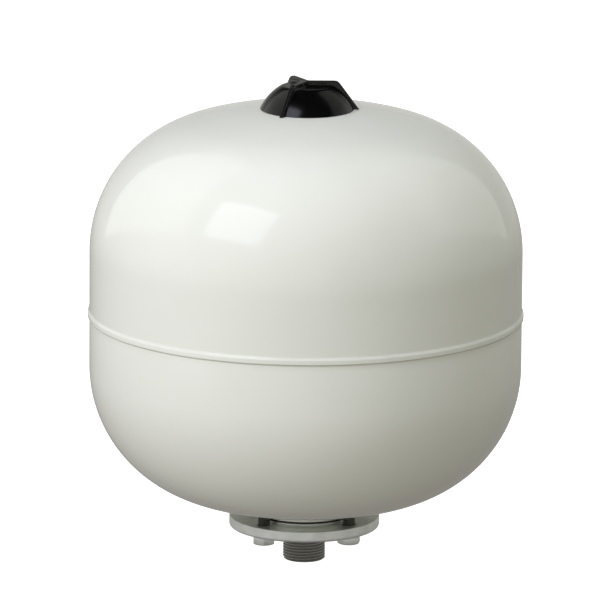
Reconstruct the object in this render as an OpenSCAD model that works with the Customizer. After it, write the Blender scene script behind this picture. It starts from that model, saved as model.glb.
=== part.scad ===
// Expansion vessel with a replaceable rubber bag, for potable water systems.
// Z points up along the vessel's axis. The origin is the centre of the pipe nipple's open end.
// Heights named z_... are measured from that origin, and radii named r_... from the axis.

/* [Shell] */
// Outer diameter of the straight wall
shell_d = 270; // [250:1:290]
// Steel wall thickness of both halves
wall = 1.2; // [1:0.1:2]
// Knuckle radius between the straight wall and the crown
knuckle_r = 85; // [70:1:100]
// Crown radius of both domes
crown_r = 270; // [240:1:320]
// Height of the girth joint above the nipple's open end
z_girth = 158.3; // [150:0.1:170]
// Straight wall above the girth joint
upper_skirt = 39.2; // [30:0.1:60]
// Straight wall below the girth joint
lower_skirt = 33.7; // [30:0.1:36]

/* [Girth joint] */
// Height of the swaged rim that overlaps the lower half
lap_h = 4.4; // [4:0.1:9]
// How far the swaged rim stands out from the straight wall
lap_step = 1.05; // [0.8:0.05:1.2]
// Height of the short cone between the wall and the swaged rim
lap_cone = 1.4; // [0.8:0.1:2]
// Leg of the weld under the swaged rim
girth_weld_leg = 0.8; // [0.5:0.1:1]

/* [Pipe connection] */
// Major diameter of the G3/4 male thread
nipple_d = 26.44; // [26:0.02:27]
// Threaded length below the flange
nipple_h = 21.4; // [20:0.1:24]
// Waterway through the nipple
nipple_bore_d = 19; // [16:0.5:20]
// Diameter of the nipple's shank inside the flange
nipple_shank_d = 25; // [24:0.5:26]
// Length of the shank, with the part that stands above the flange
nipple_shank_h = 10.5; // [10:0.5:11]

/* [Flange] */
// Diameter of the flange cover
flange_d = 94; // [90:1:98]
// Thickness of the flange cover
flange_t = 7; // [6:0.5:8]
// Diameter of the raised sealing face
face_d = 62; // [60:1:64]
// Height of the raised sealing face
face_t = 1; // [0.5:0.1:1.5]
// Number of flange bolts
bolt_count = 4; // [4]
// Pitch circle of the bolts
bolt_pcd = 75; // [74:0.5:76]
// Direction of the first bolt, in degrees from +X
bolt_start = 48; // [0:1:90]
// Diameter of the bolts' shanks
bolt_d = 7.9; // [7.5:0.1:8]
// Length of the bolts under the head
bolt_len = 25; // [25]
// Width across flats of the bolts' heads
bolt_af = 13; // [12:1:14]
// Height of the bolts' heads
bolt_head_h = 5.3; // [5:0.1:5.5]

/* [Neck] */
// Diameter of the neck that stands out of the lower shell
neck_d = 61; // [60:0.5:62]
// Bore of the neck, which the bag's collar passes through
neck_bore_d = 48; // [47:0.5:50]
// Diameter of the ring inside the shell
neck_ring_d = 87; // [86:0.5:87.5]
// Thickness of the ring inside the shell
neck_ring_t = 12; // [11.5:0.5:14]

/* [Bag] */
// Thickness of the bag's lip between the neck and the flange
lip_t = 1.2; // [1:0.1:1.5]
// Wall thickness of the bag
bag_wall = 2; // [1.5:0.1:3]
// Outer diameter of the bag, about one third full
bag_d = 184; // [150:1:200]
// Length of the bag's straight part
bag_straight = 16; // [5:1:30]
// Height of the lower centre of the bag's round end
z_bag = 151; // [140:1:155]

/* [Air valve] */
// Diameter of the boss in the top of the shell
boss_d = 20; // [19:0.5:22]
// Diameter of the valve stem's thread (8V1)
stem_d = 7.7; // [7.6:0.02:7.8]
// Length of the thread above the stem's hexagon
stem_len = 6.5; // [6:0.1:7]
// Width across flats of the stem's hexagon
stem_af = 17; // [16:0.5:17]
// Travel of the valve core's pin
pin_travel = 1.5; // [1:0.1:1.5]

/* [Cap] */
// Radius of the cap's round skin
cap_r = 32.2; // [31:0.1:33]
// Height of the centre of that round skin
z_cap_centre = 274.5; // [272:0.1:276]
// Thickness of the cap's skin
cap_wall = 2.2; // [1.8:0.1:2.4]
// Height of the cap's flat top
z_cap_top = 302.6; // [300:0.1:304]
// Number of grip wings
wing_count = 3; // [3]
// Thickness of each wing
wing_t = 2.6; // [2:0.1:3]
// Height of the wings above the flat top
wing_rise = 3.2; // [2:0.1:4]
// Radius of the wings at their flat top
wing_top_r = 19; // [17:0.5:21]
// Radius of the wings at their foot
wing_foot_r = 33; // [32:0.5:34]

/* [Hidden] */
$fn = 144;
dome_fn = 360;
over = 1;

cream = [0.91, 0.91, 0.87];
zinc = [0.72, 0.74, 0.70];
steel = [0.45, 0.45, 0.43];
brass_tint = [0.80, 0.66, 0.36];
rubber_tint = [0.08, 0.07, 0.07];
black = [0.03, 0.03, 0.03];

// Domes
r_shell = shell_d / 2;
crown_drop = sqrt(pow(crown_r - knuckle_r, 2) - pow(r_shell - knuckle_r, 2));
dome_h = crown_r - crown_drop;
z_apex = z_girth + upper_skirt + dome_h;
z_bottom = z_girth - lower_skirt - dome_h;
z_upper_crown = z_apex - crown_r;

// Flat land that is pressed into the lower dome for the flange
land_rise = 3.6;
z_land = z_bottom + land_rise;

// Girth joint: the upper half's swaged rim goes over the lower half's edge
z_rim = z_girth - lap_h / 2;
z_lap_top = z_girth + lap_h / 2;
r_rim = r_shell + lap_step;
lap_slip = 0.05;
edge_relief = wall - lap_step + lap_slip;
relief_cone = 1;
lower_edge_gap = 0.5;
weld_lip = 0.1;

// Flange and neck
z_flange = nipple_h;
z_flange_top = z_flange + flange_t;
z_face = z_flange_top + face_t;
z_neck = z_face + lip_t;
z_ring = z_land + wall;
weld_fit = 0.1;
bolt_hole_d = 9;
blind_hole_depth = 10;
thread_hole_d = 8;
groove_r = [26, 28.4];
groove_depth = 1.5;

// Bag
bag_fit = 0.6;
r_bag_neck = neck_bore_d / 2 - bag_fit;
lip_inset = 0.2;
r_lip = neck_d / 2 - lip_inset;
bead_gap = 0.2;
z_collar_top = z_bag - bag_d / 3;

// Air valve
boss_rise = 1;
z_boss = z_apex + boss_rise;
boss_shoulder_r = boss_d / 2 + 3;
shoulder_drop = 1.6;
z_boss_shoulder = z_apex - shoulder_drop;
boss_h = 12.8;
boss_thread_r = 6;
oring_wire_r = 0.74;
oring_r = 6.95;
recess_r = 8;
recess_depth = 1.5;
z_hex = z_boss;
hex_h = 3;
z_stem_top = z_hex + hex_h + stem_len;
thread_fit = 0.05;
stem_root_r = boss_thread_r - thread_fit;
stem_bore_r = 2.65;

// Valve core, from the stem's top downwards
core_recess = 1.3;
z_core_top = z_stem_top - core_recess;
core_plug_h = 4;
core_plug_r = 2.6;
core_barrel_h = 10;
core_barrel_r = 2.2;
core_cavity_r = 1.6;
core_seat_t = 1.5;
core_hole_r = 0.75;
z_barrel_top = z_core_top - core_plug_h;
z_seat = z_barrel_top - core_barrel_h;
z_spring = z_seat + core_seat_t;
gasket_drop = 1.2;
gasket_h = 1.4;
pin_r = 0.68;
pin_recess = 0.4;
z_pin_top = z_stem_top - pin_recess;
pin_collar_r = 1.45;
pin_collar_t = 0.6;
pin_collar_drop = 1.8;
z_pin_collar = z_barrel_top - pin_collar_drop;
pin_head_r = 1.55;
pin_head_t = 1.8;
core_seal_t = 0.6;
seal_gap = 0.02;
z_core_seal = z_seat - seal_gap - core_seal_t;
foot_room = 2.5;
z_stem_foot = z_core_seal - pin_head_t - pin_travel - foot_room;
spring_wire_r = 0.18;
spring_r = 1.1;
spring_turns = 6;

// Cap
cap_gap = 0.25;
cap_top_t = 1.6;
hub_r = 6.5;
hub_fit = 0.1;
hub_bore_r = stem_d / 2 + hub_fit;
hub_gap = 0.5;
z_hub = z_hex + hex_h + hub_gap;
z_cap_roof = z_cap_top - cap_top_t;
cap_seal_t = 1;
cap_seal_gap = 0.25;
z_wing_top = z_cap_top + wing_rise;
wing_corner_r = 1.6;
wing_edge_t = 0.4;
z_cap_foot = z_apex - 3;

// Half section of a dome: straight skirt, knuckle and crown. The skirt starts below the X axis,
// and each half is trimmed at its own joint edge.
// The line from the crown's centre through the knuckle's centre parts the two arcs.
module dome_section(inset, skirt) {
    reach = 2 * crown_r;
    knuckle_x = r_shell - knuckle_r;
    knuckle = [knuckle_x, skirt];
    crown = [0, skirt - crown_drop];
    far = crown + (knuckle - crown) * reach / norm(knuckle - crown);
    translate([0, -lap_h]) square([r_shell - inset, skirt + lap_h]);
    intersection() {
        translate(knuckle) circle(r = knuckle_r - inset, $fn = dome_fn);
        polygon([knuckle, [reach, skirt], [reach, far.y], far]);
    }
    intersection() {
        translate(crown) circle(r = crown_r - inset, $fn = dome_fn);
        polygon([[0, skirt], knuckle, far, [0, far.y]]);
    }
}

module upper_section(inset) {
    translate([0, z_girth]) dome_section(inset, upper_skirt);
}

module lower_section(inset) {
    translate([0, z_girth]) mirror([0, 1]) dome_section(inset, lower_skirt);
}

// Region from the axis out to past the shell, between two heights
module band(z_low, z_high) {
    translate([0, z_low]) square([2 * r_shell, z_high - z_low]);
}

module ring_section(r_in, r_out, z_low, z_high) {
    translate([r_in, z_low]) square([r_out - r_in, z_high - z_low]);
}

module ring(r_in, r_out, z_low, z_high) {
    rotate_extrude() ring_section(r_in, r_out, z_low, z_high);
}

module at_bolts() {
    for (i = [0 : bolt_count - 1])
        rotate([0, 0, bolt_start + i * 360 / bolt_count]) translate([bolt_pcd / 2, 0, 0]) children();
}

module hexagon(across_flats, h) {
    cylinder(d = across_flats / cos(30), h = h, $fn = 6);
}

module upper_shell() {
    color(cream) rotate_extrude($fn = dome_fn) {
        difference() {
            intersection() {
                upper_section(0);
                band(z_lap_top, z_apex + over);
            }
            upper_section(wall);
            ring_section(0, boss_d / 2 + weld_fit, z_boss_shoulder - over, z_apex + over);
        }
        polygon([
            [r_shell - wall, z_lap_top],
            [r_rim - wall, z_lap_top - lap_cone],
            [r_rim - wall, z_rim],
            [r_rim, z_rim],
            [r_rim, z_lap_top - lap_cone],
            [r_shell, z_lap_top]
        ]);
    }
}

module lower_shell() {
    z_edge = z_lap_top - lap_cone - lower_edge_gap;
    z_relief = z_rim - girth_weld_leg - relief_cone;
    color(cream) difference() {
        rotate_extrude($fn = dome_fn) difference() {
            intersection() {
                lower_section(0);
                band(z_land, z_edge);
            }
            intersection() {
                lower_section(wall);
                band(z_ring, z_edge + over);
            }
            ring_section(0, neck_d / 2 + weld_fit, z_bottom - over, z_ring + over);
            polygon([
                [r_shell, z_relief],
                [r_shell - edge_relief, z_relief + relief_cone],
                [r_shell - edge_relief, z_edge + over],
                [r_shell + over, z_edge + over],
                [r_shell + over, z_relief]
            ]);
        }
        at_bolts() translate([0, 0, z_land - over]) cylinder(d = bolt_hole_d, h = wall + 2 * over);
    }
}

module girth_weld() {
    r_wall = r_shell - edge_relief;
    color(cream) rotate_extrude($fn = dome_fn)
        polygon([[r_wall, z_rim - girth_weld_leg], [r_rim - weld_lip, z_rim], [r_wall, z_rim]]);
}

// Neck and inner ring are one forging. The bolts' holes are blind, so the gas side stays closed.
module neck_flange() {
    color(cream) difference() {
        rotate_extrude() {
            ring_section(neck_bore_d / 2, neck_d / 2, z_neck, z_ring);
            ring_section(neck_bore_d / 2, neck_ring_d / 2, z_ring, z_ring + neck_ring_t);
        }
        ring(groove_r[0], groove_r[1], z_neck - over, z_neck + groove_depth);
        at_bolts() translate([0, 0, z_ring - over]) cylinder(d = thread_hole_d, h = blind_hole_depth + over);
    }
}

module neck_weld() {
    leg = 2.5;
    r_ring = neck_ring_d / 2;
    color(steel) rotate_extrude() intersection() {
        lower_section(wall);
        polygon([[r_ring, z_ring], [r_ring + leg, z_ring], [r_ring, z_ring + leg]]);
    }
}

// Half section of the bag's outside, or of its inside when inset by the wall
module bag_section(inset) {
    r = bag_d / 2 - inset;
    ring_section(0, r_bag_neck - inset, z_face - (inset > 0 ? over : 0), z_collar_top);
    intersection() {
        translate([0, z_bag]) circle(r = r);
        band(0, z_bag);
    }
    ring_section(0, r, z_bag, z_bag + bag_straight);
    intersection() {
        translate([0, z_bag + bag_straight]) circle(r = r);
        band(z_bag + bag_straight, z_apex);
    }
}

module bladder() {
    color(rubber_tint) rotate_extrude() difference() {
        union() {
            bag_section(0);
            ring_section(r_bag_neck - bag_wall, r_lip, z_face, z_neck);
            ring_section(groove_r[0] + bead_gap, groove_r[1] - bead_gap, z_face, z_neck + groove_depth - bead_gap);
        }
        bag_section(bag_wall);
    }
}

module flange_cover() {
    edge = 1.5;
    r = flange_d / 2;
    color(zinc) difference() {
        rotate_extrude() {
            polygon([
                [nipple_shank_d / 2, z_flange],
                [r - edge, z_flange],
                [r, z_flange + edge],
                [r, z_flange_top - edge / 2],
                [r - edge / 2, z_flange_top],
                [nipple_shank_d / 2, z_flange_top]
            ]);
            ring_section(nipple_shank_d / 2, face_d / 2, z_flange_top, z_face);
        }
        at_bolts() translate([0, 0, z_flange - over]) cylinder(d = bolt_hole_d, h = flange_t + face_t + 2 * over);
    }
}

module nipple() {
    color(steel) rotate_extrude() {
        ring_section(nipple_bore_d / 2, nipple_d / 2, 0, z_flange);
        ring_section(nipple_bore_d / 2, nipple_shank_d / 2, z_flange, z_flange + nipple_shank_h);
    }
}

module nipple_weld() {
    leg = 2.2;
    r = nipple_shank_d / 2;
    color(steel) rotate_extrude() polygon([[r, z_face], [r + leg, z_face], [r, z_face + leg]]);
}

module flange_bolts() {
    color(zinc) at_bolts() {
        translate([0, 0, z_flange - bolt_head_h]) hexagon(bolt_af, bolt_head_h);
        translate([0, 0, z_flange]) cylinder(d = bolt_d, h = bolt_len);
    }
}

module valve_boss() {
    color(steel) rotate_extrude() difference() {
        union() {
            ring_section(boss_thread_r, boss_shoulder_r, z_boss - boss_h, z_boss_shoulder);
            ring_section(boss_thread_r, boss_d / 2, z_boss_shoulder, z_boss);
        }
        ring_section(0, recess_r, z_boss - recess_depth, z_boss + over);
    }
}

// Height of the upper shell's crown at a radius
function crown_z(r) = z_upper_crown + sqrt(crown_r * crown_r - r * r);

module boss_weld() {
    leg = 1.8;
    lift = 0.01;
    edge = 0.1;
    r = boss_d / 2;
    color(cream) rotate_extrude()
        polygon([[r, crown_z(r) + lift], [r + leg, crown_z(r + leg) + lift], [r, z_boss - edge]]);
}

module valve_stem() {
    color(brass_tint) difference() {
        union() {
            translate([0, 0, z_stem_foot]) cylinder(r = stem_root_r, h = z_hex - z_stem_foot);
            translate([0, 0, z_hex]) hexagon(stem_af, hex_h);
            translate([0, 0, z_hex + hex_h]) cylinder(d = stem_d, h = stem_len);
        }
        translate([0, 0, z_stem_foot - over]) cylinder(r = stem_bore_r, h = z_stem_top);
    }
}

module stem_oring() {
    color(rubber_tint) rotate_extrude()
        translate([oring_r, z_boss - recess_depth / 2]) circle(r = oring_wire_r, $fn = 48);
}

module core_body() {
    color(brass_tint) rotate_extrude() {
        ring_section(core_hole_r, core_plug_r, z_barrel_top, z_core_top);
        ring_section(core_cavity_r, core_barrel_r, z_spring, z_barrel_top);
        ring_section(core_hole_r, core_barrel_r, z_seat, z_spring);
    }
}

module core_gasket() {
    z_top = z_barrel_top - gasket_drop;
    color(rubber_tint) ring(core_barrel_r, stem_bore_r - seal_gap, z_top - gasket_h, z_top);
}

// Point k of n around the wire at one station along the coil
function coil_point(angle, z, k, n) =
    let (r = spring_r + spring_wire_r * cos(k * 360 / n))
    [r * cos(angle), r * sin(angle), z + spring_wire_r * sin(k * 360 / n)];

module core_spring() {
    sides = 8;
    steps = 14 * spring_turns;
    z_low = z_spring + spring_wire_r + seal_gap;
    z_high = z_pin_collar - spring_wire_r - seal_gap;
    points = [
        for (i = [0 : steps], k = [0 : sides - 1])
            coil_point(360 * spring_turns * i / steps, z_low + (z_high - z_low) * i / steps, k, sides)
    ];
    walls = [
        for (i = [0 : steps - 1], k = [0 : sides - 1])
            let (a = i * sides, b = a + sides, next = (k + 1) % sides)
            [a + k, b + k, b + next, a + next]
    ];
    ends = [[for (k = [0 : sides - 1]) k], [for (k = [sides - 1 : -1 : 0]) steps * sides + k]];
    color(steel) polyhedron(points, concat(walls, ends), convexity = 10);
}

module core_pin() {
    color(brass_tint) rotate_extrude() {
        ring_section(0, pin_r, z_core_seal - pin_head_t, z_pin_top);
        ring_section(0, pin_collar_r, z_pin_collar, z_pin_collar + pin_collar_t);
        ring_section(0, pin_head_r, z_core_seal - pin_head_t, z_core_seal);
    }
}

module core_seal() {
    color(rubber_tint) ring(pin_r, pin_head_r, z_core_seal, z_core_seal + core_seal_t);
}

// Outline of one wing, from the axis outwards
module wing_section() {
    c = wing_corner_r;
    hull() {
        translate([0, z_boss]) square([1, z_wing_top - z_boss]);
        translate([wing_top_r - c, z_wing_top - c]) circle(r = c, $fn = 32);
        translate([wing_foot_r - c, z_cap_foot]) square([c, wing_edge_t]);
    }
}

module cap_wings() {
    for (i = [0 : wing_count - 1])
        rotate([90, 0, i * 360 / wing_count]) translate([0, 0, -wing_t / 2]) linear_extrude(wing_t) wing_section();
}

// The cap's skin and wings stop just above the crown of the shell.
module valve_cap() {
    color(black) {
        difference() {
            union() {
                rotate_extrude() intersection() {
                    translate([0, z_cap_centre]) circle(r = cap_r);
                    band(z_cap_foot, z_cap_top);
                }
                cap_wings();
            }
            rotate_extrude() intersection() {
                translate([0, z_cap_centre]) circle(r = cap_r - cap_wall);
                band(z_cap_foot - over, z_cap_roof);
            }
            translate([0, 0, z_upper_crown]) sphere(r = crown_r + cap_gap, $fn = dome_fn);
        }
        ring(hub_bore_r, hub_r, z_hub, z_cap_roof);
    }
}

module cap_seal() {
    color(rubber_tint) translate([0, 0, z_cap_roof - cap_seal_t])
        cylinder(r = hub_bore_r - cap_seal_gap, h = cap_seal_t);
}

upper_shell();
lower_shell();
girth_weld();
neck_flange();
neck_weld();
bladder();
flange_cover();
nipple();
nipple_weld();
flange_bolts();
valve_boss();
boss_weld();
valve_stem();
stem_oring();
core_body();
core_gasket();
core_spring();
core_pin();
core_seal();
valve_cap();
cap_seal();
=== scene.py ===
from math import asin, ceil, cos, pi, radians, sin, sqrt, tan

import bmesh
import bpy
import numpy as np
from mathutils import Matrix, Quaternion, Vector


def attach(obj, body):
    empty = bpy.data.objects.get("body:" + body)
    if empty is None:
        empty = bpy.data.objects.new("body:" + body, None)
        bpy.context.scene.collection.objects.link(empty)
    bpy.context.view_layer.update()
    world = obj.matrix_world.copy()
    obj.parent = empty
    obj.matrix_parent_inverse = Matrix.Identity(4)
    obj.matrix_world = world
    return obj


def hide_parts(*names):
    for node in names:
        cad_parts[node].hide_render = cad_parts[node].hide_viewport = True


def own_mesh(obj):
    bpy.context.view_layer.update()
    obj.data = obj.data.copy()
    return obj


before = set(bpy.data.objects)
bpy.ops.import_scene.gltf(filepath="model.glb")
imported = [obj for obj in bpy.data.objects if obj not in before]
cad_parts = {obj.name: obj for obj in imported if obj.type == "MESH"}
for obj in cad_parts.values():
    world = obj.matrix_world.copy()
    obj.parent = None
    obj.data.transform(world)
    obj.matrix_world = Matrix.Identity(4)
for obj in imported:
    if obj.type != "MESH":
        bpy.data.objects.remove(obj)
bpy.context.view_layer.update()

# Sizes and heights up the vessel's axis are in millimetres, as in the CAD. MM turns them into metres.
MM = 0.001

# Shell
R_SHELL = 135.0
WALL = 1.2
R_KNUCKLE = 85.0
R_CROWN = 270.0
Z_GIRTH = 158.3
Z_UPPER_KNUCKLE = Z_GIRTH + 39.2
Z_LOWER_KNUCKLE = Z_GIRTH - 33.7
CROWN_DROP = sqrt((R_CROWN - R_KNUCKLE) ** 2 - (R_SHELL - R_KNUCKLE) ** 2)
Z_UPPER_CROWN = Z_UPPER_KNUCKLE - CROWN_DROP
Z_APEX = Z_UPPER_CROWN + R_CROWN
Z_LAND = Z_LOWER_KNUCKLE + CROWN_DROP - R_CROWN + 3.6
R_LAND = 43.94
R_BOSS_HOLE = 10.1
R_NECK_HOLE = 30.6
Z_RIM = Z_GIRTH - 2.2
Z_LAP_TOP = Z_GIRTH + 2.2
LAP_CONE = 1.4
R_RIM = 136.05
Z_EDGE = Z_LAP_TOP - LAP_CONE - 0.5
R_RELIEF = 134.8
WELD_LEG = 0.8

# Flange, nipple and bolts
Z_FLANGE = 21.4
Z_FLANGE_TOP = Z_FLANGE + 7
Z_FACE = Z_FLANGE_TOP + 1
R_FLANGE = 47.0
R_FACE = 31.0
R_SHANK = 12.5
R_BORE = 9.5
Z_SHANK_TOP = Z_FLANGE + 10.5
THREAD_R = 13.22
THREAD_DEPTH = 1.16
THREAD_PITCH = 1.814
BOLT_CIRCLE_R = 37.5
BOLT_AZIMUTHS = (48, 138, 228, 318)
BOLT_HEX_TURNS = (5, 41, 30, 20)
BOLT_HOLE_R = 4.5
BOLT_R = 3.95
BOLT_THREAD_DEPTH = 0.66
BOLT_PITCH = 1.25
Z_BOLT_HEAD = Z_FLANGE - 5.3
Z_BOLT_END = Z_FLANGE + 25
HEX_AF = 13.0

# Bag
R_BAG = 92.0
BAG_WALL = 2.0
Z_BAG = 151.0
BAG_STRAIGHT = 16.0
R_BAG_NECK = 23.4
R_LIP = 30.3
Z_LIP_TOP = Z_FACE + 1.2
Z_BEAD = Z_LIP_TOP + 1.3
R_BEAD_IN = 26.2
R_BEAD_OUT = 28.2
Z_COLLAR = 44.0

# Air valve
Z_HEX = Z_APEX + 1
STEM_HEX_H = 3.0
STEM_HEX_AF = 17.0
Z_STEM_TOP = Z_HEX + STEM_HEX_H + 6.5
Z_STEM_FOOT = Z_STEM_TOP - 21.72
STEM_ROOT_R = 5.95
STEM_ROOT_DEPTH = 0.6
STEM_ROOT_PITCH = 1.0
STEM_BORE_R = 2.65
STEM_R = 3.85
STEM_THREAD_DEPTH = 0.42
STEM_PITCH = 0.794

# Valve core spring, and how far the pin shortens it
Z_SPRING = Z_STEM_TOP - 13.8
SPRING_H = 6.5
SPRING_R = 1.1
SPRING_WIRE_R = 0.18
SPRING_TURNS = 6

# Cap
CAP_R = 32.2
Z_CAP = 274.5
CAP_WALL = 2.2
Z_CAP_TOP = 302.6
CAP_TOP_T = 1.6
CAP_GAP = 0.25
WING_AZIMUTHS = (0, 120, 240)
WING_HALF_T = 1.3
WING_TOP_R = 19.0
WING_FOOT_R = 33.0
Z_WING_TOP = Z_CAP_TOP + 3.2
Z_WING_FOOT = Z_APEX - 2.6
HUB_R = 6.5
HUB_BORE_R = 3.95
Z_HUB = Z_HEX + STEM_HEX_H + 0.5


# ---------------------------------------------------------------- mesh helpers

# The largest step of an arc
ARC_STEP = radians(14)


def build(name, points, faces, sharp=32):
    """A mesh object from points in millimetres, with outward faces and sharp edges by angle."""
    mesh = bpy.data.meshes.new(name)
    mesh.from_pydata([tuple(c * MM for c in p) for p in points], [], faces)
    shape = bmesh.new()
    shape.from_mesh(mesh)
    bmesh.ops.recalc_face_normals(shape, faces=shape.faces)
    shape.to_mesh(mesh)
    shape.free()
    obj = bpy.data.objects.new(name, mesh)
    bpy.context.scene.collection.objects.link(obj)
    smooth(obj, sharp)
    return obj


def smooth(obj, sharp):
    """Smooth shading, broken at edges that turn by more than the angle sharp in degrees."""
    obj.data.shade_smooth()
    obj.data.set_sharp_from_angle(angle=radians(sharp))


def rounded(corners, closed):
    """The line through corners (r, z, fillet), with an arc of each corner's fillet radius.

    An arc also has a point on each side, a little way along the straight, to keep the shading flat there.
    """
    line = []
    for i, (r, z, fillet) in enumerate(corners):
        if not fillet or (not closed and i in (0, len(corners) - 1)):
            line.append((r, z))
            continue
        corner = Vector((r, z))
        back = (Vector(corners[i - 1][:2]) - corner).normalized()
        on = (Vector(corners[(i + 1) % len(corners)][:2]) - corner).normalized()
        half = back.angle(on) / 2
        centre = corner + (back + on).normalized() * fillet / sin(half)
        spoke = corner + back * fillet / tan(half) - centre
        turn = pi - 2 * half
        steps = max(2, ceil(turn / ARC_STEP))
        side = 1 if back.x * on.y - back.y * on.x < 0 else -1
        hold = fillet * 0.15
        line.append(tuple(centre + spoke + back * hold))
        for k in range(steps + 1):
            a = side * turn * k / steps
            line.append((
                centre.x + spoke.x * cos(a) - spoke.y * sin(a),
                centre.y + spoke.x * sin(a) + spoke.y * cos(a),
            ))
        line.append(tuple(corner + on * (fillet / tan(half) + hold)))
    return line


def grid_faces(rows, closed):
    """Quads between neighbouring rows of point numbers, each row running once round."""
    faces = []
    for low, high in zip(rows, rows[1:] + (rows[:1] if closed else [])):
        count = len(low)
        for i in range(count):
            j = (i + 1) % count
            quad = list(dict.fromkeys((low[i], low[j], high[j], high[i])))
            if len(quad) > 2:
                faces.append(quad)
    return faces


def turned(line, steps, closed, warp):
    """Points and faces of a line of (r, z) turned about the axis.

    warp(r, z, angle), where there is one, gives a changed (r, z).
    """
    points = []
    rows = []
    for r, z in line:
        if r < 1e-6:
            rows.append([len(points)] * steps)
            points.append((0, 0, z))
            continue
        rows.append(list(range(len(points), len(points) + steps)))
        for i in range(steps):
            a = 2 * pi * i / steps
            new_r, new_z = warp(r, z, a) if warp else (r, z)
            points.append((new_r * cos(a), new_r * sin(a), new_z))
    return points, grid_faces(rows, closed)


def lathe(name, corners, steps, closed=True, warp=None):
    """A turned mesh object from the corners (r, z, fillet) of its section."""
    return build(name, *turned(rounded(corners, closed), steps, closed, warp))


def thread_cut(phase):
    """Depth, 0 at a crest to 1 at a root, of a rounded thread form at a phase of its pitch."""
    flat = 0.12
    roundness = 0.35
    slope = abs(2 * (phase % 1) - 1)
    cut = min(max((slope - flat) / (1 - 2 * flat), 0), 1)
    return cut * cut * (3 - 2 * cut) * roundness + cut * (1 - roundness)


def screw(name, radius, depth, pitch, z_low, z_high, chamfer, steps, per_pitch, bore=0):
    """A threaded rod, or a tube where there is a bore.

    The thread fades out over the chamfer's two heights, at the lower and the upper end. A turn has steps
    points, and a pitch has per_pitch rows of them.
    """
    fade = 0.95
    ease = 0.5
    points = []
    rows = []
    levels = ceil((z_high - z_low) / pitch * per_pitch)
    for level in range(levels + 1):
        z = z_low + (z_high - z_low) * level / levels
        ends = [max(0, 1 - (z - z_low) / chamfer[0]), max(0, 1 - (z_high - z) / chamfer[1])]
        rows.append(list(range(len(points), len(points) + steps)))
        for i in range(steps):
            a = 2 * pi * i / steps
            cut = thread_cut((z - z_low) / pitch - i / steps)
            r = radius - depth * max(cut, *[e * fade for e in ends])
            points.append((r * cos(a), r * sin(a), z))
    if bore:
        line = [(bore + ease, z_high), (bore, z_high - ease), (bore, z_low + ease), (bore + ease, z_low)]
    else:
        line = [(0, z_high)]
    for r, z in line:
        if r == 0:
            rows.append([len(points)] * steps)
            points.append((0, 0, z))
            continue
        rows.append(list(range(len(points), len(points) + steps)))
        points += [(r * cos(2 * pi * i / steps), r * sin(2 * pi * i / steps), z) for i in range(steps)]
    if not bore:
        rows.insert(0, [len(points)] * steps)
        points.append((0, 0, z_low))
    return build(name, points, grid_faces(rows, bool(bore)), 50)


def hexagon(across_flats, turn):
    """Corners of a hexagon about the axis, one of them at the angle turn in degrees."""
    r = across_flats / 2 / cos(pi / 6)
    return [(r * cos(radians(turn + 60 * k)), r * sin(radians(turn + 60 * k))) for k in range(6)]


def hexagon_chamfer(across_flats):
    """Radii just outside a hexagon's corners and of its chamfered face, and the chamfer's height."""
    corner_r = across_flats / 2 / cos(pi / 6) + 0.1
    face_r = across_flats / 2 * 0.95
    return corner_r, face_r, (corner_r - face_r) * tan(radians(30))


def prism(name, outline, z_low, z_high):
    """A mesh object from an outline of (x, y) and two heights."""
    count = len(outline)
    points = [(x, y, z) for z in (z_low, z_high) for x, y in outline]
    walls = [[i, (i + 1) % count, count + (i + 1) % count, count + i] for i in range(count)]
    return build(name, points, [list(range(count)), list(range(count, 2 * count))] + walls)


def apply_modifiers(obj):
    """Puts the result of an object's modifiers in place of its mesh."""
    bpy.context.view_layer.update()
    final = bpy.data.meshes.new_from_object(obj.evaluated_get(bpy.context.evaluated_depsgraph_get()))
    old = obj.data
    obj.modifiers.clear()
    obj.data = final
    bpy.data.meshes.remove(old)


def combine(obj, others, operation, sharp=32):
    """Applies one exact boolean after another and removes the tools."""
    for other in others:
        change = obj.modifiers.new("combine", "BOOLEAN")
        change.operation = operation
        change.solver = "EXACT"
        change.object = other
        apply_modifiers(obj)
        bpy.data.objects.remove(other)
    smooth(obj, sharp)
    return obj


def ease_edges(obj, width):
    """Rounds the edges that turn by more than 50 degrees."""
    change = obj.modifiers.new("ease", "BEVEL")
    change.width = width * MM
    change.segments = 2
    change.limit_method = "ANGLE"
    change.angle_limit = radians(50)
    apply_modifiers(obj)
    smooth(obj, 24)


def join(obj, others):
    """Adds the meshes of others to obj and removes them."""
    shape = bmesh.new()
    for part in (obj, *others):
        part.data.transform(part.matrix_world)
        part.matrix_world = Matrix.Identity(4)
        shape.from_mesh(part.data)
    shape.to_mesh(obj.data)
    shape.free()
    for part in others:
        bpy.data.objects.remove(part)
    return obj


def settle(obj, body, slot, material, *nodes):
    """Paints a piece, hangs it on the body it rides on and hides the CAD nodes it stands for. The slot is
    not used.
    """
    obj.data.materials.clear()
    obj.data.materials.append(material)
    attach(obj, body)
    if nodes:
        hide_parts(*nodes)
    return obj


# ---------------------------------------------------------------- materials

def new_material(name, **sockets):
    """A material whose shader sockets are set directly. Underscores in the names stand for spaces."""
    material = bpy.data.materials.new(name)
    material.use_nodes = True
    shader = material.node_tree.nodes["Principled BSDF"]
    for socket, value in sockets.items():
        shader.inputs[socket.replace("_", " ")].default_value = value
    return material, material.node_tree, shader


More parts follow.
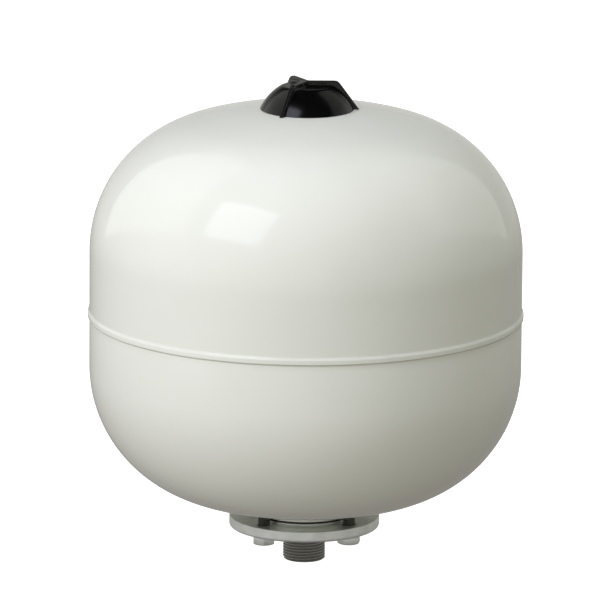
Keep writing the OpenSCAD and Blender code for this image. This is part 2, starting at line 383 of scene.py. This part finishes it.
def add_node(tree, kind, settings=None, **inputs):
    """A shader node. An input given as another node's output is linked, anything else is set.

    An input is known by its name, or by i and its number.
    """
    node = tree.nodes.new(kind)
    for key, value in (settings or {}).items():
        setattr(node, key, value)
    for key, value in inputs.items():
        socket = node.inputs[int(key[1:])] if key[0] == "i" and key[1:].isdigit() else node.inputs[key]
        if isinstance(value, bpy.types.NodeSocket):
            tree.links.new(value, socket)
        else:
            socket.default_value = value
    return node


def object_point(tree):
    """The shaded point, in metres from the piece's origin."""
    return add_node(tree, "ShaderNodeTexCoord").outputs["Object"]


def noise(tree, point, scale, detail):
    """Cloudy noise from 0 to 1, with about scale clouds to a metre."""
    return add_node(tree, "ShaderNodeTexNoise", Vector=point, Scale=scale, Detail=detail).outputs["Fac"]


def ramp(tree, value, stops):
    """A colour ramp with stops of (position, colour)."""
    node = add_node(tree, "ShaderNodeValToRGB", Fac=value)
    band = node.color_ramp
    while len(band.elements) < len(stops):
        band.elements.new(0.5)
    for element, (position, colour) in zip(band.elements, stops):
        element.position = position
        element.color = (*colour, 1)
    return node.outputs["Color"]


def span(tree, value, low, high, start=0.0, stop=1.0):
    """A value that goes from start to stop, made to go from low to high."""
    node = add_node(tree, "ShaderNodeMapRange", Value=value)
    node.inputs["From Min"].default_value = start
    node.inputs["From Max"].default_value = stop
    node.inputs["To Min"].default_value = low
    node.inputs["To Max"].default_value = high
    return node.outputs["Result"]


def bump(tree, shader, height, strength, depth_mm):
    """Roughens a shader's surface with a height map."""
    node = add_node(tree, "ShaderNodeBump", Strength=strength, Distance=depth_mm * MM, Height=height)
    tree.links.new(node.outputs["Normal"], shader.inputs["Normal"])
    return node.outputs["Normal"]


def enamel():
    """Gloss stoved enamel with a fine orange peel and a faint unevenness of tint."""
    material, tree, shader = new_material("enamel", IOR=1.5, Specular_IOR_Level=0.4,
                                          Coat_Weight=0.1, Coat_Roughness=0.03)
    point = object_point(tree)
    creams = [(0.35, (0.765, 0.785, 0.675)), (0.65, (0.785, 0.80, 0.695))]
    tint = ramp(tree, noise(tree, point, 14, 4), creams)
    tree.links.new(tint, shader.inputs["Base Color"])
    tree.links.new(span(tree, noise(tree, point, 60, 4), 0.05, 0.09), shader.inputs["Roughness"])
    peel = bump(tree, shader, noise(tree, point, 420, 2), 0.12, 0.02)
    tree.links.new(peel, shader.inputs["Coat Normal"])
    return material


def plated(name, dark, light, rough, metallic):
    """Zinc plate: a dull metal, with fine marks left round it by turning, and an uneven sheen."""
    material, tree, shader = new_material(name, Metallic=metallic)
    point = object_point(tree)
    drawn = add_node(tree, "ShaderNodeVectorMath", {"operation": "MULTIPLY"}, i0=point, i1=(0.1, 0.1, 1))
    streaks = noise(tree, drawn.outputs[0], 1500, 3)
    cloud = noise(tree, point, 120, 4)
    mixed = add_node(tree, "ShaderNodeMath", {"operation": "MULTIPLY_ADD"}, i0=streaks, i1=0.5, i2=cloud)
    tint = ramp(tree, mixed.outputs[0], [(0.5, dark), (1.0, light)])
    tree.links.new(tint, shader.inputs["Base Color"])
    tree.links.new(span(tree, cloud, *rough), shader.inputs["Roughness"])
    bump(tree, shader, streaks, 0.2, 0.02)
    return material


def threaded_steel():
    """Dark oiled steel whose thread crests are rubbed brighter than its roots."""
    material, tree, shader = new_material("nipple_steel", Metallic=1.0)
    point = object_point(tree)
    flat = add_node(tree, "ShaderNodeVectorMath", {"operation": "MULTIPLY"}, i0=point, i1=(1, 1, 0))
    radius = add_node(tree, "ShaderNodeVectorMath", {"operation": "LENGTH"}, i0=flat.outputs[0])
    crest = span(tree, radius.outputs["Value"], 0, 1, (THREAD_R - THREAD_DEPTH) * MM, THREAD_R * MM)
    worn = add_node(tree, "ShaderNodeMath", {"operation": "MULTIPLY_ADD"},
                    i0=noise(tree, point, 500, 4), i1=0.35, i2=crest)
    wear = [(0.1, (0.32, 0.32, 0.305)), (0.75, (0.43, 0.43, 0.41)), (1.0, (0.56, 0.56, 0.54))]
    tint = ramp(tree, worn.outputs[0], wear)
    tree.links.new(tint, shader.inputs["Base Color"])
    tree.links.new(span(tree, noise(tree, point, 250, 4), 0.42, 0.6), shader.inputs["Roughness"])
    bump(tree, shader, noise(tree, point, 1200, 3), 0.3, 0.02)
    return material


def bare_steel():
    """Bare mild steel and weld metal, with heat tint and a rippled skin."""
    material, tree, shader = new_material("bare_steel", Metallic=1.0)
    point = object_point(tree)
    greys = [(0.3, (0.30, 0.29, 0.28)), (0.7, (0.46, 0.46, 0.45))]
    tint = ramp(tree, noise(tree, point, 90, 5), greys)
    tree.links.new(tint, shader.inputs["Base Color"])
    tree.links.new(span(tree, noise(tree, point, 300, 4), 0.3, 0.5), shader.inputs["Roughness"])
    bump(tree, shader, noise(tree, point, 800, 3), 0.4, 0.04)
    return material


def wire_steel():
    """Drawn spring wire, clean and fairly bright."""
    material, tree, shader = new_material("wire_steel", Metallic=1.0)
    point = object_point(tree)
    greys = [(0.3, (0.48, 0.48, 0.48)), (0.7, (0.62, 0.62, 0.61))]
    tint = ramp(tree, noise(tree, point, 2500, 3), greys)
    tree.links.new(tint, shader.inputs["Base Color"])
    tree.links.new(span(tree, noise(tree, point, 1500, 2), 0.18, 0.3), shader.inputs["Roughness"])
    return material


def brass():
    """Turned brass: fine rings round the axis and a slightly dulled surface."""
    material, tree, shader = new_material("brass", Metallic=1.0)
    point = object_point(tree)
    rings = add_node(tree, "ShaderNodeTexWave", {"bands_direction": "Z"}, Vector=point,
                     Scale=1200.0, Distortion=1.5)
    yellows = [(0.3, (0.60, 0.42, 0.17)), (0.7, (0.74, 0.55, 0.25))]
    tint = ramp(tree, noise(tree, point, 220, 4), yellows)
    tree.links.new(tint, shader.inputs["Base Color"])
    tree.links.new(span(tree, noise(tree, point, 500, 3), 0.2, 0.34), shader.inputs["Roughness"])
    bump(tree, shader, rings.outputs["Fac"], 0.15, 0.01)
    return material


def rubber():
    """Matt moulded rubber with a fine bloom."""
    material, tree, shader = new_material("rubber", IOR=1.52, Sheen_Weight=0.08, Sheen_Roughness=0.5)
    point = object_point(tree)
    blacks = [(0.3, (0.020, 0.012, 0.010)), (0.7, (0.034, 0.023, 0.020))]
    tint = ramp(tree, noise(tree, point, 40, 5), blacks)
    tree.links.new(tint, shader.inputs["Base Color"])
    tree.links.new(span(tree, noise(tree, point, 120, 4), 0.55, 0.75), shader.inputs["Roughness"])
    bump(tree, shader, noise(tree, point, 700, 4), 0.3, 0.05)
    return material


def cap_plastic():
    """Gloss moulded plastic, nearly black, with faint flow marks and handling haze."""
    material, tree, shader = new_material("cap_plastic", IOR=1.5, Specular_IOR_Level=0.42)
    point = object_point(tree)
    blacks = [(0.3, (0.0015, 0.0015, 0.0015)), (0.7, (0.003, 0.003, 0.0029))]
    tint = ramp(tree, noise(tree, point, 70, 4), blacks)
    tree.links.new(tint, shader.inputs["Base Color"])
    tree.links.new(span(tree, noise(tree, point, 160, 5), 0.16, 0.24), shader.inputs["Roughness"])
    bump(tree, shader, noise(tree, point, 900, 3), 0.12, 0.015)
    return material


PAINT = enamel()
ZINC = plated("dull_zinc", (0.68, 0.71, 0.68), (0.85, 0.875, 0.84), (0.26, 0.38), 0.7)
BOLT_ZINC = plated("bright_zinc", (0.52, 0.55, 0.52), (0.78, 0.81, 0.78), (0.24, 0.40), 0.9)
# The bolts' threads are zinc tinted nearly black. This is painted shade for the shadowed gap between the
# flange and the shell, the only place they show.
BOLT_THREAD_PAINTED_SHADE = plated("thread_zinc_painted_shade", (0.10, 0.11, 0.10), (0.20, 0.21, 0.19), (0.40, 0.55), 0.9)
NIPPLE_STEEL = threaded_steel()
STEEL = bare_steel()
WIRE = wire_steel()
BRASS = brass()
RUBBER = rubber()
PLASTIC = cap_plastic()


# ---------------------------------------------------------------- shell

def dome_line(r_start, inset):
    """Section of a dome from near the axis out to its skirt, with heights from the knuckle's centre."""
    turn = asin((R_SHELL - R_KNUCKLE) / (R_CROWN - R_KNUCKLE))
    crown = R_CROWN - inset
    knuckle = R_KNUCKLE - inset
    crown_turns = np.linspace(asin(r_start / crown), turn, 26)
    knuckle_turns = np.linspace(turn, pi / 2, 64)[1:]
    line = [(crown * sin(a), crown * cos(a) - CROWN_DROP) for a in crown_turns]
    r_centre = R_SHELL - R_KNUCKLE
    return line + [(r_centre + knuckle * sin(a), knuckle * cos(a)) for a in knuckle_turns]


def upper_shell():
    """The upper dome, holed for the valve boss, with its rim swaged out over the lower shell."""
    outer = [(r, Z_UPPER_KNUCKLE + z, 0) for r, z in dome_line(R_BOSS_HOLE, 0)]
    inner = [(r, Z_UPPER_KNUCKLE + z, 0) for r, z in dome_line(R_BOSS_HOLE, WALL)]
    z_cone = Z_LAP_TOP - LAP_CONE
    rim = [
        (R_SHELL, Z_LAP_TOP, 1.7),
        (R_RIM, z_cone, 1.5),
        (R_RIM, Z_RIM, 0.6),
        (R_RIM - WALL, Z_RIM, 0.25),
        (R_RIM - WALL, z_cone, 0.4),
        (R_SHELL - WALL, Z_LAP_TOP, 0.4),
    ]
    return lathe("shell_upper", outer + rim + inner[::-1], 320)


def lower_shell():
    """The lower dome, with a flat land for the flange, bolt holes and an edge inside the upper rim."""
    r_start = R_LAND + 3
    outer = [(r, Z_LOWER_KNUCKLE - z, 0) for r, z in dome_line(r_start, 0)]
    inner = [(r, Z_LOWER_KNUCKLE - z, 0) for r, z in dome_line(r_start, WALL)]
    z_relief = Z_RIM - WELD_LEG - 1
    rim = [
        (R_SHELL, z_relief, 0),
        (R_RELIEF, z_relief + 1, 0),
        (R_RELIEF, Z_EDGE, 0.2),
        (R_SHELL - WALL, Z_EDGE, 0.2),
    ]
    land = [(R_LAND, Z_LAND, 5), (R_NECK_HOLE, Z_LAND, 0.2)]
    land_inside = [(R_NECK_HOLE, Z_LAND + WALL, 0), (R_LAND - 0.1, Z_LAND + WALL, 4)]
    shell = lathe("shell_lower", land_inside + inner + rim[::-1] + outer[::-1] + land, 320)
    below = Z_LAND - 3
    above = Z_LAND + 4
    drill = [(0, below, 0), (BOLT_HOLE_R, below, 0), (BOLT_HOLE_R, above, 0), (0, above, 0)]
    return combine(shell, bolt_tools("hole", drill), "DIFFERENCE")


def bolt_tools(name, corners):
    """A turned tool at each bolt's place."""
    tools = []
    for number, azimuth in enumerate(BOLT_AZIMUTHS):
        tool = lathe(f"{name}_{number}", corners, 40, closed=False)
        place_at_bolt(tool, azimuth)
        tools.append(tool)
    return tools


def place_at_bolt(obj, azimuth):
    """Moves a mesh from the axis to a bolt's place."""
    a = radians(azimuth)
    obj.data.transform(Matrix.Translation((BOLT_CIRCLE_R * MM * cos(a), BOLT_CIRCLE_R * MM * sin(a), 0)))


def girth_weld():
    """A small bead under the swaged rim, filled over with paint."""
    def ripple(r, z, a):
        wave = 0.05 * sin(150 * a) + 0.04 * sin(47 * a + 1)
        return r + wave * (Z_RIM - z) / WELD_LEG * 0.5, z

    corners = [
        (R_RELIEF, Z_RIM - WELD_LEG, 0),
        (R_RIM - 0.75, Z_RIM - 0.42, 0.5),
        (R_RIM - 0.15, Z_RIM, 0),
        (R_RELIEF, Z_RIM, 0),
    ]
    return lathe("weld_girth", corners, 640, warp=ripple)


# ---------------------------------------------------------------- flange and pipe connection

def flange_cover():
    """The round flange, with a raised sealing face and chamfered bolt holes."""
    corners = [
        (R_SHANK, Z_FLANGE, 0.3),
        (R_FLANGE, Z_FLANGE, 1.7),
        (R_FLANGE, Z_FLANGE_TOP, 0.6),
        (R_FACE, Z_FLANGE_TOP, 0.4),
        (R_FACE, Z_FACE, 0.25),
        (R_SHANK, Z_FACE, 0.2),
    ]
    cover = lathe("flange_plate", corners, 256)
    ease = 0.45
    wide_r = BOLT_HOLE_R + ease + 1
    drill = [
        (0, Z_FLANGE - 1, 0),
        (wide_r, Z_FLANGE - 1, 0),
        (BOLT_HOLE_R, Z_FLANGE + ease, 0),
        (BOLT_HOLE_R, Z_FLANGE_TOP - ease, 0),
        (wide_r, Z_FLANGE_TOP + 1, 0),
        (0, Z_FLANGE_TOP + 1, 0),
    ]
    return combine(cover, bolt_tools("drill", drill), "DIFFERENCE")


def bolt(number):
    """One hexagon-head bolt, with chamfered corners and a washer face, and its rolled thread."""
    head = prism(f"bolt_{number}", hexagon(HEX_AF, BOLT_HEX_TURNS[number - 1]), Z_BOLT_HEAD, Z_FLANGE)
    corner_r, face_r, drop = hexagon_chamfer(HEX_AF)
    z_washer = Z_FLANGE - 0.4
    z_shank = Z_FLANGE - 0.6
    envelope = lathe(f"envelope_{number}", [
        (0, Z_BOLT_HEAD, 0),
        (face_r, Z_BOLT_HEAD, 0.2),
        (corner_r, Z_BOLT_HEAD + drop, 0),
        (corner_r, z_washer, 0),
        (face_r, z_washer, 0),
        (face_r, Z_FLANGE, 0),
        (0, Z_FLANGE, 0),
    ], 96, closed=False)
    combine(head, [envelope], "INTERSECT", 24)
    ease_edges(head, 0.14)
    shank = screw(f"bolt_thread_{number}", BOLT_R, BOLT_THREAD_DEPTH, BOLT_PITCH, z_shank, Z_BOLT_END,
                  chamfer=(0.1, 1.0), steps=40, per_pitch=10)
    place_at_bolt(head, BOLT_AZIMUTHS[number - 1])
    place_at_bolt(shank, BOLT_AZIMUTHS[number - 1])
    return head, shank


def nipple():
    """The G3/4 threaded end, a run-out under the flange and the plain shank inside it."""
    threaded = screw("pipe_nipple", THREAD_R, THREAD_DEPTH, THREAD_PITCH, 0, Z_FLANGE,
                     bore=R_BORE, chamfer=(0.9, 0.5), steps=144, per_pitch=14)
    r_shank = R_SHANK - 0.05
    z_shank = Z_FLANGE - 0.4
    shank = lathe("nipple_shank", [
        (R_BORE, z_shank, 0),
        (r_shank, z_shank, 0),
        (r_shank, Z_SHANK_TOP, 0.5),
        (R_BORE, Z_SHANK_TOP, 0.4),
    ], 144)
    return join(threaded, [shank])


# ---------------------------------------------------------------- bag

def bladder():
    """The rubber bag, filling about a third of the vessel, with shallow folds where it has drawn in."""
    fold_depth = 2.4

    def folds(r, z, a):
        height = (z - (Z_BAG - R_BAG)) / (2 * R_BAG + BAG_STRAIGHT)
        if height <= 0:
            return r, z
        belly = sin(pi * min(max(height, 0), 1)) ** 2
        wave = sin(5 * a) * 0.6 + sin(8 * a + 1.3 + 2 * height) * 0.4
        return r - belly * fold_depth * (1 + wave) * (r / R_BAG), z

    def section(inset):
        radius = R_BAG - inset
        neck = R_BAG_NECK - inset
        start = asin(neck / radius)
        z_high = Z_BAG + BAG_STRAIGHT
        low = [(radius * sin(a), Z_BAG - radius * cos(a)) for a in np.linspace(start, pi / 2, 40)]
        high = [(radius * cos(a), z_high + radius * sin(a)) for a in np.linspace(0, pi / 2, 44)[:-1]]
        return [(r, z, 0) for r, z in low + high]

    inside = section(BAG_WALL)
    outside = section(0)
    z_top = Z_BAG + BAG_STRAIGHT + R_BAG
    lip = [
        (R_BAG_NECK, Z_COLLAR, 6),
        (R_BAG_NECK, Z_LIP_TOP, 0.6),
        (R_BEAD_IN, Z_LIP_TOP, 0.2),
        (R_BEAD_IN, Z_BEAD, 0.5),
        (R_BEAD_OUT, Z_BEAD, 0.5),
        (R_BEAD_OUT, Z_LIP_TOP, 0.2),
        (R_LIP, Z_LIP_TOP, 0.35),
        (R_LIP, Z_FACE, 0.35),
        (R_BAG_NECK - BAG_WALL, Z_FACE, 0.6),
        (R_BAG_NECK - BAG_WALL, Z_COLLAR, 6),
    ]
    corners = [(0, z_top, 0)] + outside[::-1] + lip + inside + [(0, z_top - BAG_WALL, 0)]
    return lathe("rubber_bag", corners, 240, closed=False, warp=folds)


# ---------------------------------------------------------------- air valve

def valve_stem():
    """The valve's brass body: a hexagon, the cap's thread above it and the boss's thread below."""
    overlap = 0.3
    hex_top = Z_HEX + STEM_HEX_H
    body = prism("stem_valve", hexagon(STEM_HEX_AF, 0), Z_HEX, hex_top)
    corner_r, face_r, drop = hexagon_chamfer(STEM_HEX_AF)
    envelope = lathe("stem_envelope", [
        (STEM_BORE_R, Z_HEX, 0),
        (face_r, Z_HEX, 0),
        (corner_r, Z_HEX + drop, 0),
        (corner_r, hex_top - drop, 0),
        (face_r, hex_top, 0),
        (STEM_BORE_R, hex_top, 0),
    ], 96)
    combine(body, [envelope], "INTERSECT", 24)
    ease_edges(body, 0.15)
    upper = screw("stem_thread", STEM_R, STEM_THREAD_DEPTH, STEM_PITCH, hex_top - overlap, Z_STEM_TOP,
                  bore=STEM_BORE_R, chamfer=(0.4, 0.7), steps=72, per_pitch=10)
    lower = screw("stem_root", STEM_ROOT_R, STEM_ROOT_DEPTH, STEM_ROOT_PITCH, Z_STEM_FOOT, Z_HEX + overlap,
                  bore=STEM_BORE_R, chamfer=(0.9, 0.6), steps=72, per_pitch=10)
    return join(body, [upper, lower])


def coil_spring():
    """Round wire wound on a helix, from the seat up to the pin's collar."""
    sides = 12
    steps = SPRING_TURNS * 28
    end_gap = SPRING_WIRE_R + 0.02
    points = []
    rows = []
    for step in range(steps + 1):
        a = 2 * pi * SPRING_TURNS * step / steps
        z = Z_SPRING + end_gap + (SPRING_H - 2 * end_gap) * step / steps
        rows.append(list(range(len(points), len(points) + sides)))
        for k in range(sides):
            b = 2 * pi * k / sides
            r = SPRING_R + SPRING_WIRE_R * cos(b)
            points.append((r * cos(a), r * sin(a), z + SPRING_WIRE_R * sin(b)))
        if step in (0, steps):
            end = [len(points)] * sides
            points.append((SPRING_R * cos(a), SPRING_R * sin(a), z))
            rows.insert(len(rows) if step else 0, end)
    return build("coil_spring", points, grid_faces(rows, False), 40)


# ---------------------------------------------------------------- cap

def soft_max(a, b, ease):
    """The larger of two distances, rounded over where they differ by less than ease."""
    share = np.clip(0.5 + 0.5 * (a - b) / ease, 0, 1)
    return b + (a - b) * share + ease * share * (1 - share)


def soft_min(a, b, ease):
    """The smaller of two distances, rounded over in the same way."""
    return -soft_max(-a, -b, ease)


def cap_distance(x, y, z):
    """Signed distance, about, to the cap's outside: a flat-topped round skin with grip wings."""
    skin = np.sqrt(x * x + y * y + (z - Z_CAP) ** 2) - CAP_R
    skin = soft_max(skin, z - Z_CAP_TOP, ease=0.9)
    slope = Vector((Z_WING_TOP - Z_WING_FOOT, WING_FOOT_R - WING_TOP_R)).normalized()
    far_away = 100.0
    wings = np.full_like(skin, far_away)
    for azimuth in WING_AZIMUTHS:
        a = radians(azimuth)
        along = x * cos(a) + y * sin(a)
        across = np.abs(y * cos(a) - x * sin(a)) - WING_HALF_T
        slant = (along - WING_TOP_R) * slope.x + (z - Z_WING_TOP) * slope.y
        outline = soft_max(slant, z - Z_WING_TOP, ease=2.2)
        outline = soft_max(outline, along - WING_FOOT_R, ease=0.5)
        outline = soft_max(outline, -along - 0.3, ease=0.3)
        wings = soft_min(wings, soft_max(across, outline, ease=0.5), ease=0.4)
    return soft_min(skin, soft_max(wings, z - Z_WING_TOP, ease=0.5), ease=0.7)


def cap_floor(x, y, z):
    """Height above the face that stands just clear of the shell's crown."""
    return z - (Z_UPPER_CROWN + np.sqrt((R_CROWN + CAP_GAP) ** 2 - x * x - y * y))


def inner_distance(x, y, z):
    """Signed distance, about, to the space inside the cap's skin."""
    skin = np.sqrt(x * x + y * y + (z - Z_CAP) ** 2) - (CAP_R - CAP_WALL)
    return soft_max(skin, z - (Z_CAP_TOP - CAP_TOP_T), ease=0.8)


def reach(distance, sides, rise, z_start):
    """How far rays go from a point on the axis before distance() turns positive, by halving.

    sides are the rays' x and y for each step along them, and rise is their z.
    """
    farthest = 60.0
    across, along = sides
    low = np.zeros_like(across)
    high = np.full_like(across, farthest)
    for _ in range(46):
        middle = (low + high) / 2
        outside = distance(across * middle, along * middle, z_start + rise * middle) > 0
        high = np.where(outside, middle, high)
        low = np.where(outside, low, middle)
    return (low + high) / 2


def cap_columns():
    """Azimuths round the cap, close together beside each wing."""
    beside = 9
    near = np.arange(-beside, beside + 0.01, 0.3)
    far = np.linspace(beside, 360 / len(WING_AZIMUTHS) - beside, 54)[1:-1]
    sector = np.concatenate([near, far])
    return np.radians(np.concatenate([azimuth + sector for azimuth in WING_AZIMUTHS]))


def cap_rows(distance, columns, z_start, count):
    """Rows of points where rays from the axis meet a surface, ending on the face above the crown."""
    low = np.zeros_like(columns)
    high = np.full_like(columns, radians(100))
    for _ in range(40):
        middle = (low + high) / 2
        sides = np.sin(middle) * np.cos(columns), np.sin(middle) * np.sin(columns)
        t = reach(distance, sides, np.cos(middle), z_start)
        above = cap_floor(sides[0] * t, sides[1] * t, z_start + np.cos(middle) * t) > 0
        low = np.where(above, middle, low)
        high = np.where(above, high, middle)
    last = (low + high) / 2
    rows = []
    for share in np.linspace(0, 1, count)[1:]:
        tilt = last * share
        sides = np.sin(tilt) * np.cos(columns), np.sin(tilt) * np.sin(columns)
        t = reach(distance, sides, np.cos(tilt), z_start)
        rows.append(np.stack([sides[0] * t, sides[1] * t, z_start + np.cos(tilt) * t], 1))
    return rows


def axis_height(distance, z_start):
    """Where a surface meets the axis."""
    straight_up = np.zeros(1), np.zeros(1)
    return z_start + float(reach(distance, straight_up, np.ones(1), z_start)[0])


def valve_cap():
    """The winged cap, as rows of points over its outside and back under its skin."""
    columns = cap_columns()
    z_start = Z_APEX - 3.8
    outer = cap_rows(cap_distance, columns, z_start, 150)
    inner = cap_rows(inner_distance, columns, z_start, 50)
    top = axis_height(cap_distance, z_start)
    roof = axis_height(inner_distance, z_start)
    points = [(0, 0, top)]
    rows = [[0] * len(columns)]
    for row in outer + inner[::-1]:
        rows.append(list(range(len(points), len(points) + len(columns))))
        points += [tuple(p) for p in row]
    rows.append([len(points)] * len(columns))
    points.append((0, 0, roof))
    return build("cap_shell", points, grid_faces(rows, False), 40)


def cap_hub():
    """The tube inside the cap that screws onto the stem, let a little way into the roof."""
    z_top = Z_CAP_TOP - CAP_TOP_T + 0.3
    return lathe("cap_hub", [
        (HUB_BORE_R, Z_HUB, 0.4),
        (HUB_R, Z_HUB, 0.5),
        (HUB_R, z_top, 0),
        (HUB_BORE_R, z_top, 0),
    ], 96)


# ---------------------------------------------------------------- the pieces and what they ride on

settle(upper_shell(), "vessel", "shell_paint", PAINT, "upper_shell")
settle(lower_shell(), "vessel", "shell_paint", PAINT, "lower_shell")
settle(girth_weld(), "vessel", "shell_paint", PAINT, "girth_weld")
settle(flange_cover(), "vessel", "flange_zinc", ZINC, "flange_cover")
for bolt_number in range(1, 5):
    bolt_head, bolt_thread = bolt(bolt_number)
    settle(bolt_head, "vessel", "bolt_zinc", BOLT_ZINC, "flange_bolts")
    # The thread's nearly black zinc is painted shade for the gap under the shell.
    settle(bolt_thread, "vessel", "bolt_zinc", BOLT_THREAD_PAINTED_SHADE, "flange_bolts")
settle(nipple(), "vessel", "nipple_steel", NIPPLE_STEEL, "nipple")
settle(bladder(), "vessel", "rubber", RUBBER, "bladder")
settle(valve_stem(), "vessel", "brass", BRASS, "valve_stem")
spring = settle(coil_spring(), "vessel", "spring_steel", WIRE, "core_spring")
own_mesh(spring)
settle(valve_cap(), "cap", "cap_plastic", PLASTIC, "valve_cap")
settle(cap_hub(), "cap", "cap_plastic", PLASTIC, "valve_cap")

NODE_MATERIALS = {
    "neck_flange": PAINT,
    "boss_weld": PAINT,
    "neck_weld": STEEL,
    "nipple_weld": STEEL,
    "valve_boss": STEEL,
    "core_body": BRASS,
    "core_pin": BRASS,
    "stem_oring": RUBBER,
    "core_gasket": RUBBER,
    "core_seal": RUBBER,
    "cap_seal": RUBBER,
}
for node_name, node_material in NODE_MATERIALS.items():
    for material_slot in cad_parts[node_name].material_slots:
        material_slot.material = node_material


# ---------------------------------------------------------------- floor, light and camera

# Lengths are in metres from here on. The heights on the vessel's axis that the lights and the camera face
Z_SUBJECT = 0.2
Z_AIM = 0.1589

# Radiance of the window, of the diffusers, and of the left and right reflectors
WINDOW = 2.2
LEFT = 1.95
TOP = 2.15
FRONT = 0.61
REFLECTORS = (0.75, 0.42)

# The surround's tint at heights from straight down (0) to straight up (1), and its strength from the
# back on the right to the front on the left
SURROUND = [
    (0.0, (0.13, 0.115, 0.11)),
    (0.38, (0.42, 0.405, 0.385)),
    (0.47, (0.69, 0.68, 0.64)),
    (0.75, (0.005, 0.005, 0.005)),
]
SURROUND_SHADE = (0.88, 1.14)


def pale_floor():
    """A wide white floor, which neither lights the vessel nor shows in its gloss."""
    half = 40.0
    corners = [(-half, -half, 0), (half, -half, 0), (half, half, 0), (-half, half, 0)]
    mesh = bpy.data.meshes.new("floor")
    mesh.from_pydata(corners, [], [(0, 1, 2, 3)])
    floor = bpy.data.objects.new("floor", mesh)
    bpy.context.scene.collection.objects.link(floor)
    material, _, _ = new_material("floor", Roughness=0.9, Base_Color=(0.9, 0.9, 0.9, 1),
                                  Emission_Color=(1, 1, 1, 1), Emission_Strength=1.0)
    mesh.materials.append(material)
    floor.visible_diffuse = False
    floor.visible_glossy = False


def panel(name, centre, along, up, width, height, radiance, colour):
    """A rectangular soft light. It shines away from along x up, and is hidden from the camera."""
    light = bpy.data.lights.new(name, "AREA")
    light.shape = "RECTANGLE"
    light.size = width
    light.size_y = height
    light.energy = radiance * pi * width * height
    light.color = colour
    lamp = bpy.data.objects.new(name, light)
    x_axis = Vector(along).normalized()
    z_axis = x_axis.cross(Vector(up)).normalized()
    y_axis = z_axis.cross(x_axis)
    turn = Matrix((x_axis, y_axis, z_axis)).transposed().to_4x4()
    lamp.matrix_world = Matrix.Translation(centre) @ turn
    lamp.visible_camera = False
    bpy.context.scene.collection.objects.link(lamp)
    return lamp


def direction(azimuth, elevation):
    """Unit vector at an azimuth from the camera's side towards +X, and an elevation, in degrees."""
    a = radians(azimuth)
    e = radians(elevation)
    return Vector((sin(a) * cos(e), -cos(a) * cos(e), sin(e)))


def softbox(name, azimuth, elevation, width, height, distance, radiance, colour):
    """A panel that faces the vessel from a direction."""
    out = direction(azimuth, elevation)
    along = Vector((0, 0, 1)).cross(out)
    centre = Vector((0, 0, Z_SUBJECT)) + out * distance
    return panel(name, centre, along, out.cross(along), width, height, radiance, colour)


def diffuser(name, azimuth, elevation, distance, radiance, colour):
    """A large softbox behind cloth. It lights the vessel, but gives no image of itself in the gloss."""
    size = 1.6
    softbox(name, azimuth, elevation, size, size, distance, radiance, colour).visible_glossy = False


def reflectors():
    """A tilted panel on each side of the vessel. The left one shows only in the gloss."""
    gap = 0.7
    width = 1.3 * gap
    height = 3.0 * gap
    forward = Vector((0, -0.92, 0.39))
    up = Vector((0, 0.39, 0.92))
    for side, radiance in zip((-1, 1), REFLECTORS):
        foot = Vector((side * gap, 0.78 * gap, Z_SUBJECT - 0.05 * gap))
        centre = foot + forward * width / 2 + up * height / 2
        along = -side * forward
        reflector = panel("reflector", centre, along, up, width, height, radiance, (0.96, 1.0, 0.92))
        reflector.visible_diffuse = side > 0


def surround():
    """A world that is tinted by height and shaded from side to side, and white to the camera."""
    world = bpy.data.worlds.new("studio")
    bpy.context.scene.world = world
    world.use_nodes = True
    tree = world.node_tree
    heading = add_node(tree, "ShaderNodeTexCoord").outputs["Generated"]
    height = add_node(tree, "ShaderNodeSeparateXYZ", Vector=heading).outputs["Z"]
    fill = ramp(tree, span(tree, height, 0, 1, -1, 1), SURROUND)
    left_front = (-0.64, -0.77, 0)
    facing = add_node(tree, "ShaderNodeVectorMath", {"operation": "DOT_PRODUCT"}, i0=heading, i1=left_front)
    shade = span(tree, facing.outputs["Value"], *SURROUND_SHADE, -1, 1)
    shaded = add_node(tree, "ShaderNodeVectorMath", {"operation": "SCALE"}, i0=fill, Scale=shade)
    seen = add_node(tree, "ShaderNodeLightPath").outputs["Is Camera Ray"]
    white = (1, 1, 1, 1)
    mixed = add_node(tree, "ShaderNodeMix", {"data_type": "RGBA"}, i0=seen, i6=shaded.outputs[0], i7=white)
    tree.links.new(mixed.outputs[2], tree.nodes["Background"].inputs["Color"])


def studio():
    """A small window, three diffusers, a reflector on each side and the surround."""
    softbox("window", -43, 42, 0.66, 0.64, 1.25, WINDOW, (1.0, 1.0, 1.2))
    diffuser("left", -55, 10, 1.8, LEFT, (1.0, 1.0, 1.14))
    diffuser("top", 0, 80, 1.5, TOP, (1.0, 1.0, 1.1))
    diffuser("front", 0, 5, 1.9, FRONT, (1.0, 1.0, 1.0))
    reflectors()
    surround()


def camera():
    """A long lens, from in front and looking down a little."""
    distance = 6.0
    elevation = radians(13.07)
    pitch = radians(13.0054)
    yaw = radians(-0.035)
    roll = radians(0.4)
    data = bpy.data.cameras.new("camera")
    data.lens = 577.0
    data.sensor_width = 36
    data.clip_end = 60
    eye = bpy.data.objects.new("camera", data)
    eye.location = (0, -distance * cos(elevation), Z_AIM + distance * sin(elevation))
    forward = Vector((sin(yaw) * cos(pitch), cos(yaw) * cos(pitch), -sin(pitch)))
    eye.rotation_mode = "QUATERNION"
    eye.rotation_quaternion = forward.to_track_quat("-Z", "Y") @ Quaternion((0, 0, 1), roll)
    bpy.context.scene.collection.objects.link(eye)
    bpy.context.scene.camera = eye


pale_floor()
studio()
camera()
bpy.context.scene.view_settings.view_transform = "Standard"
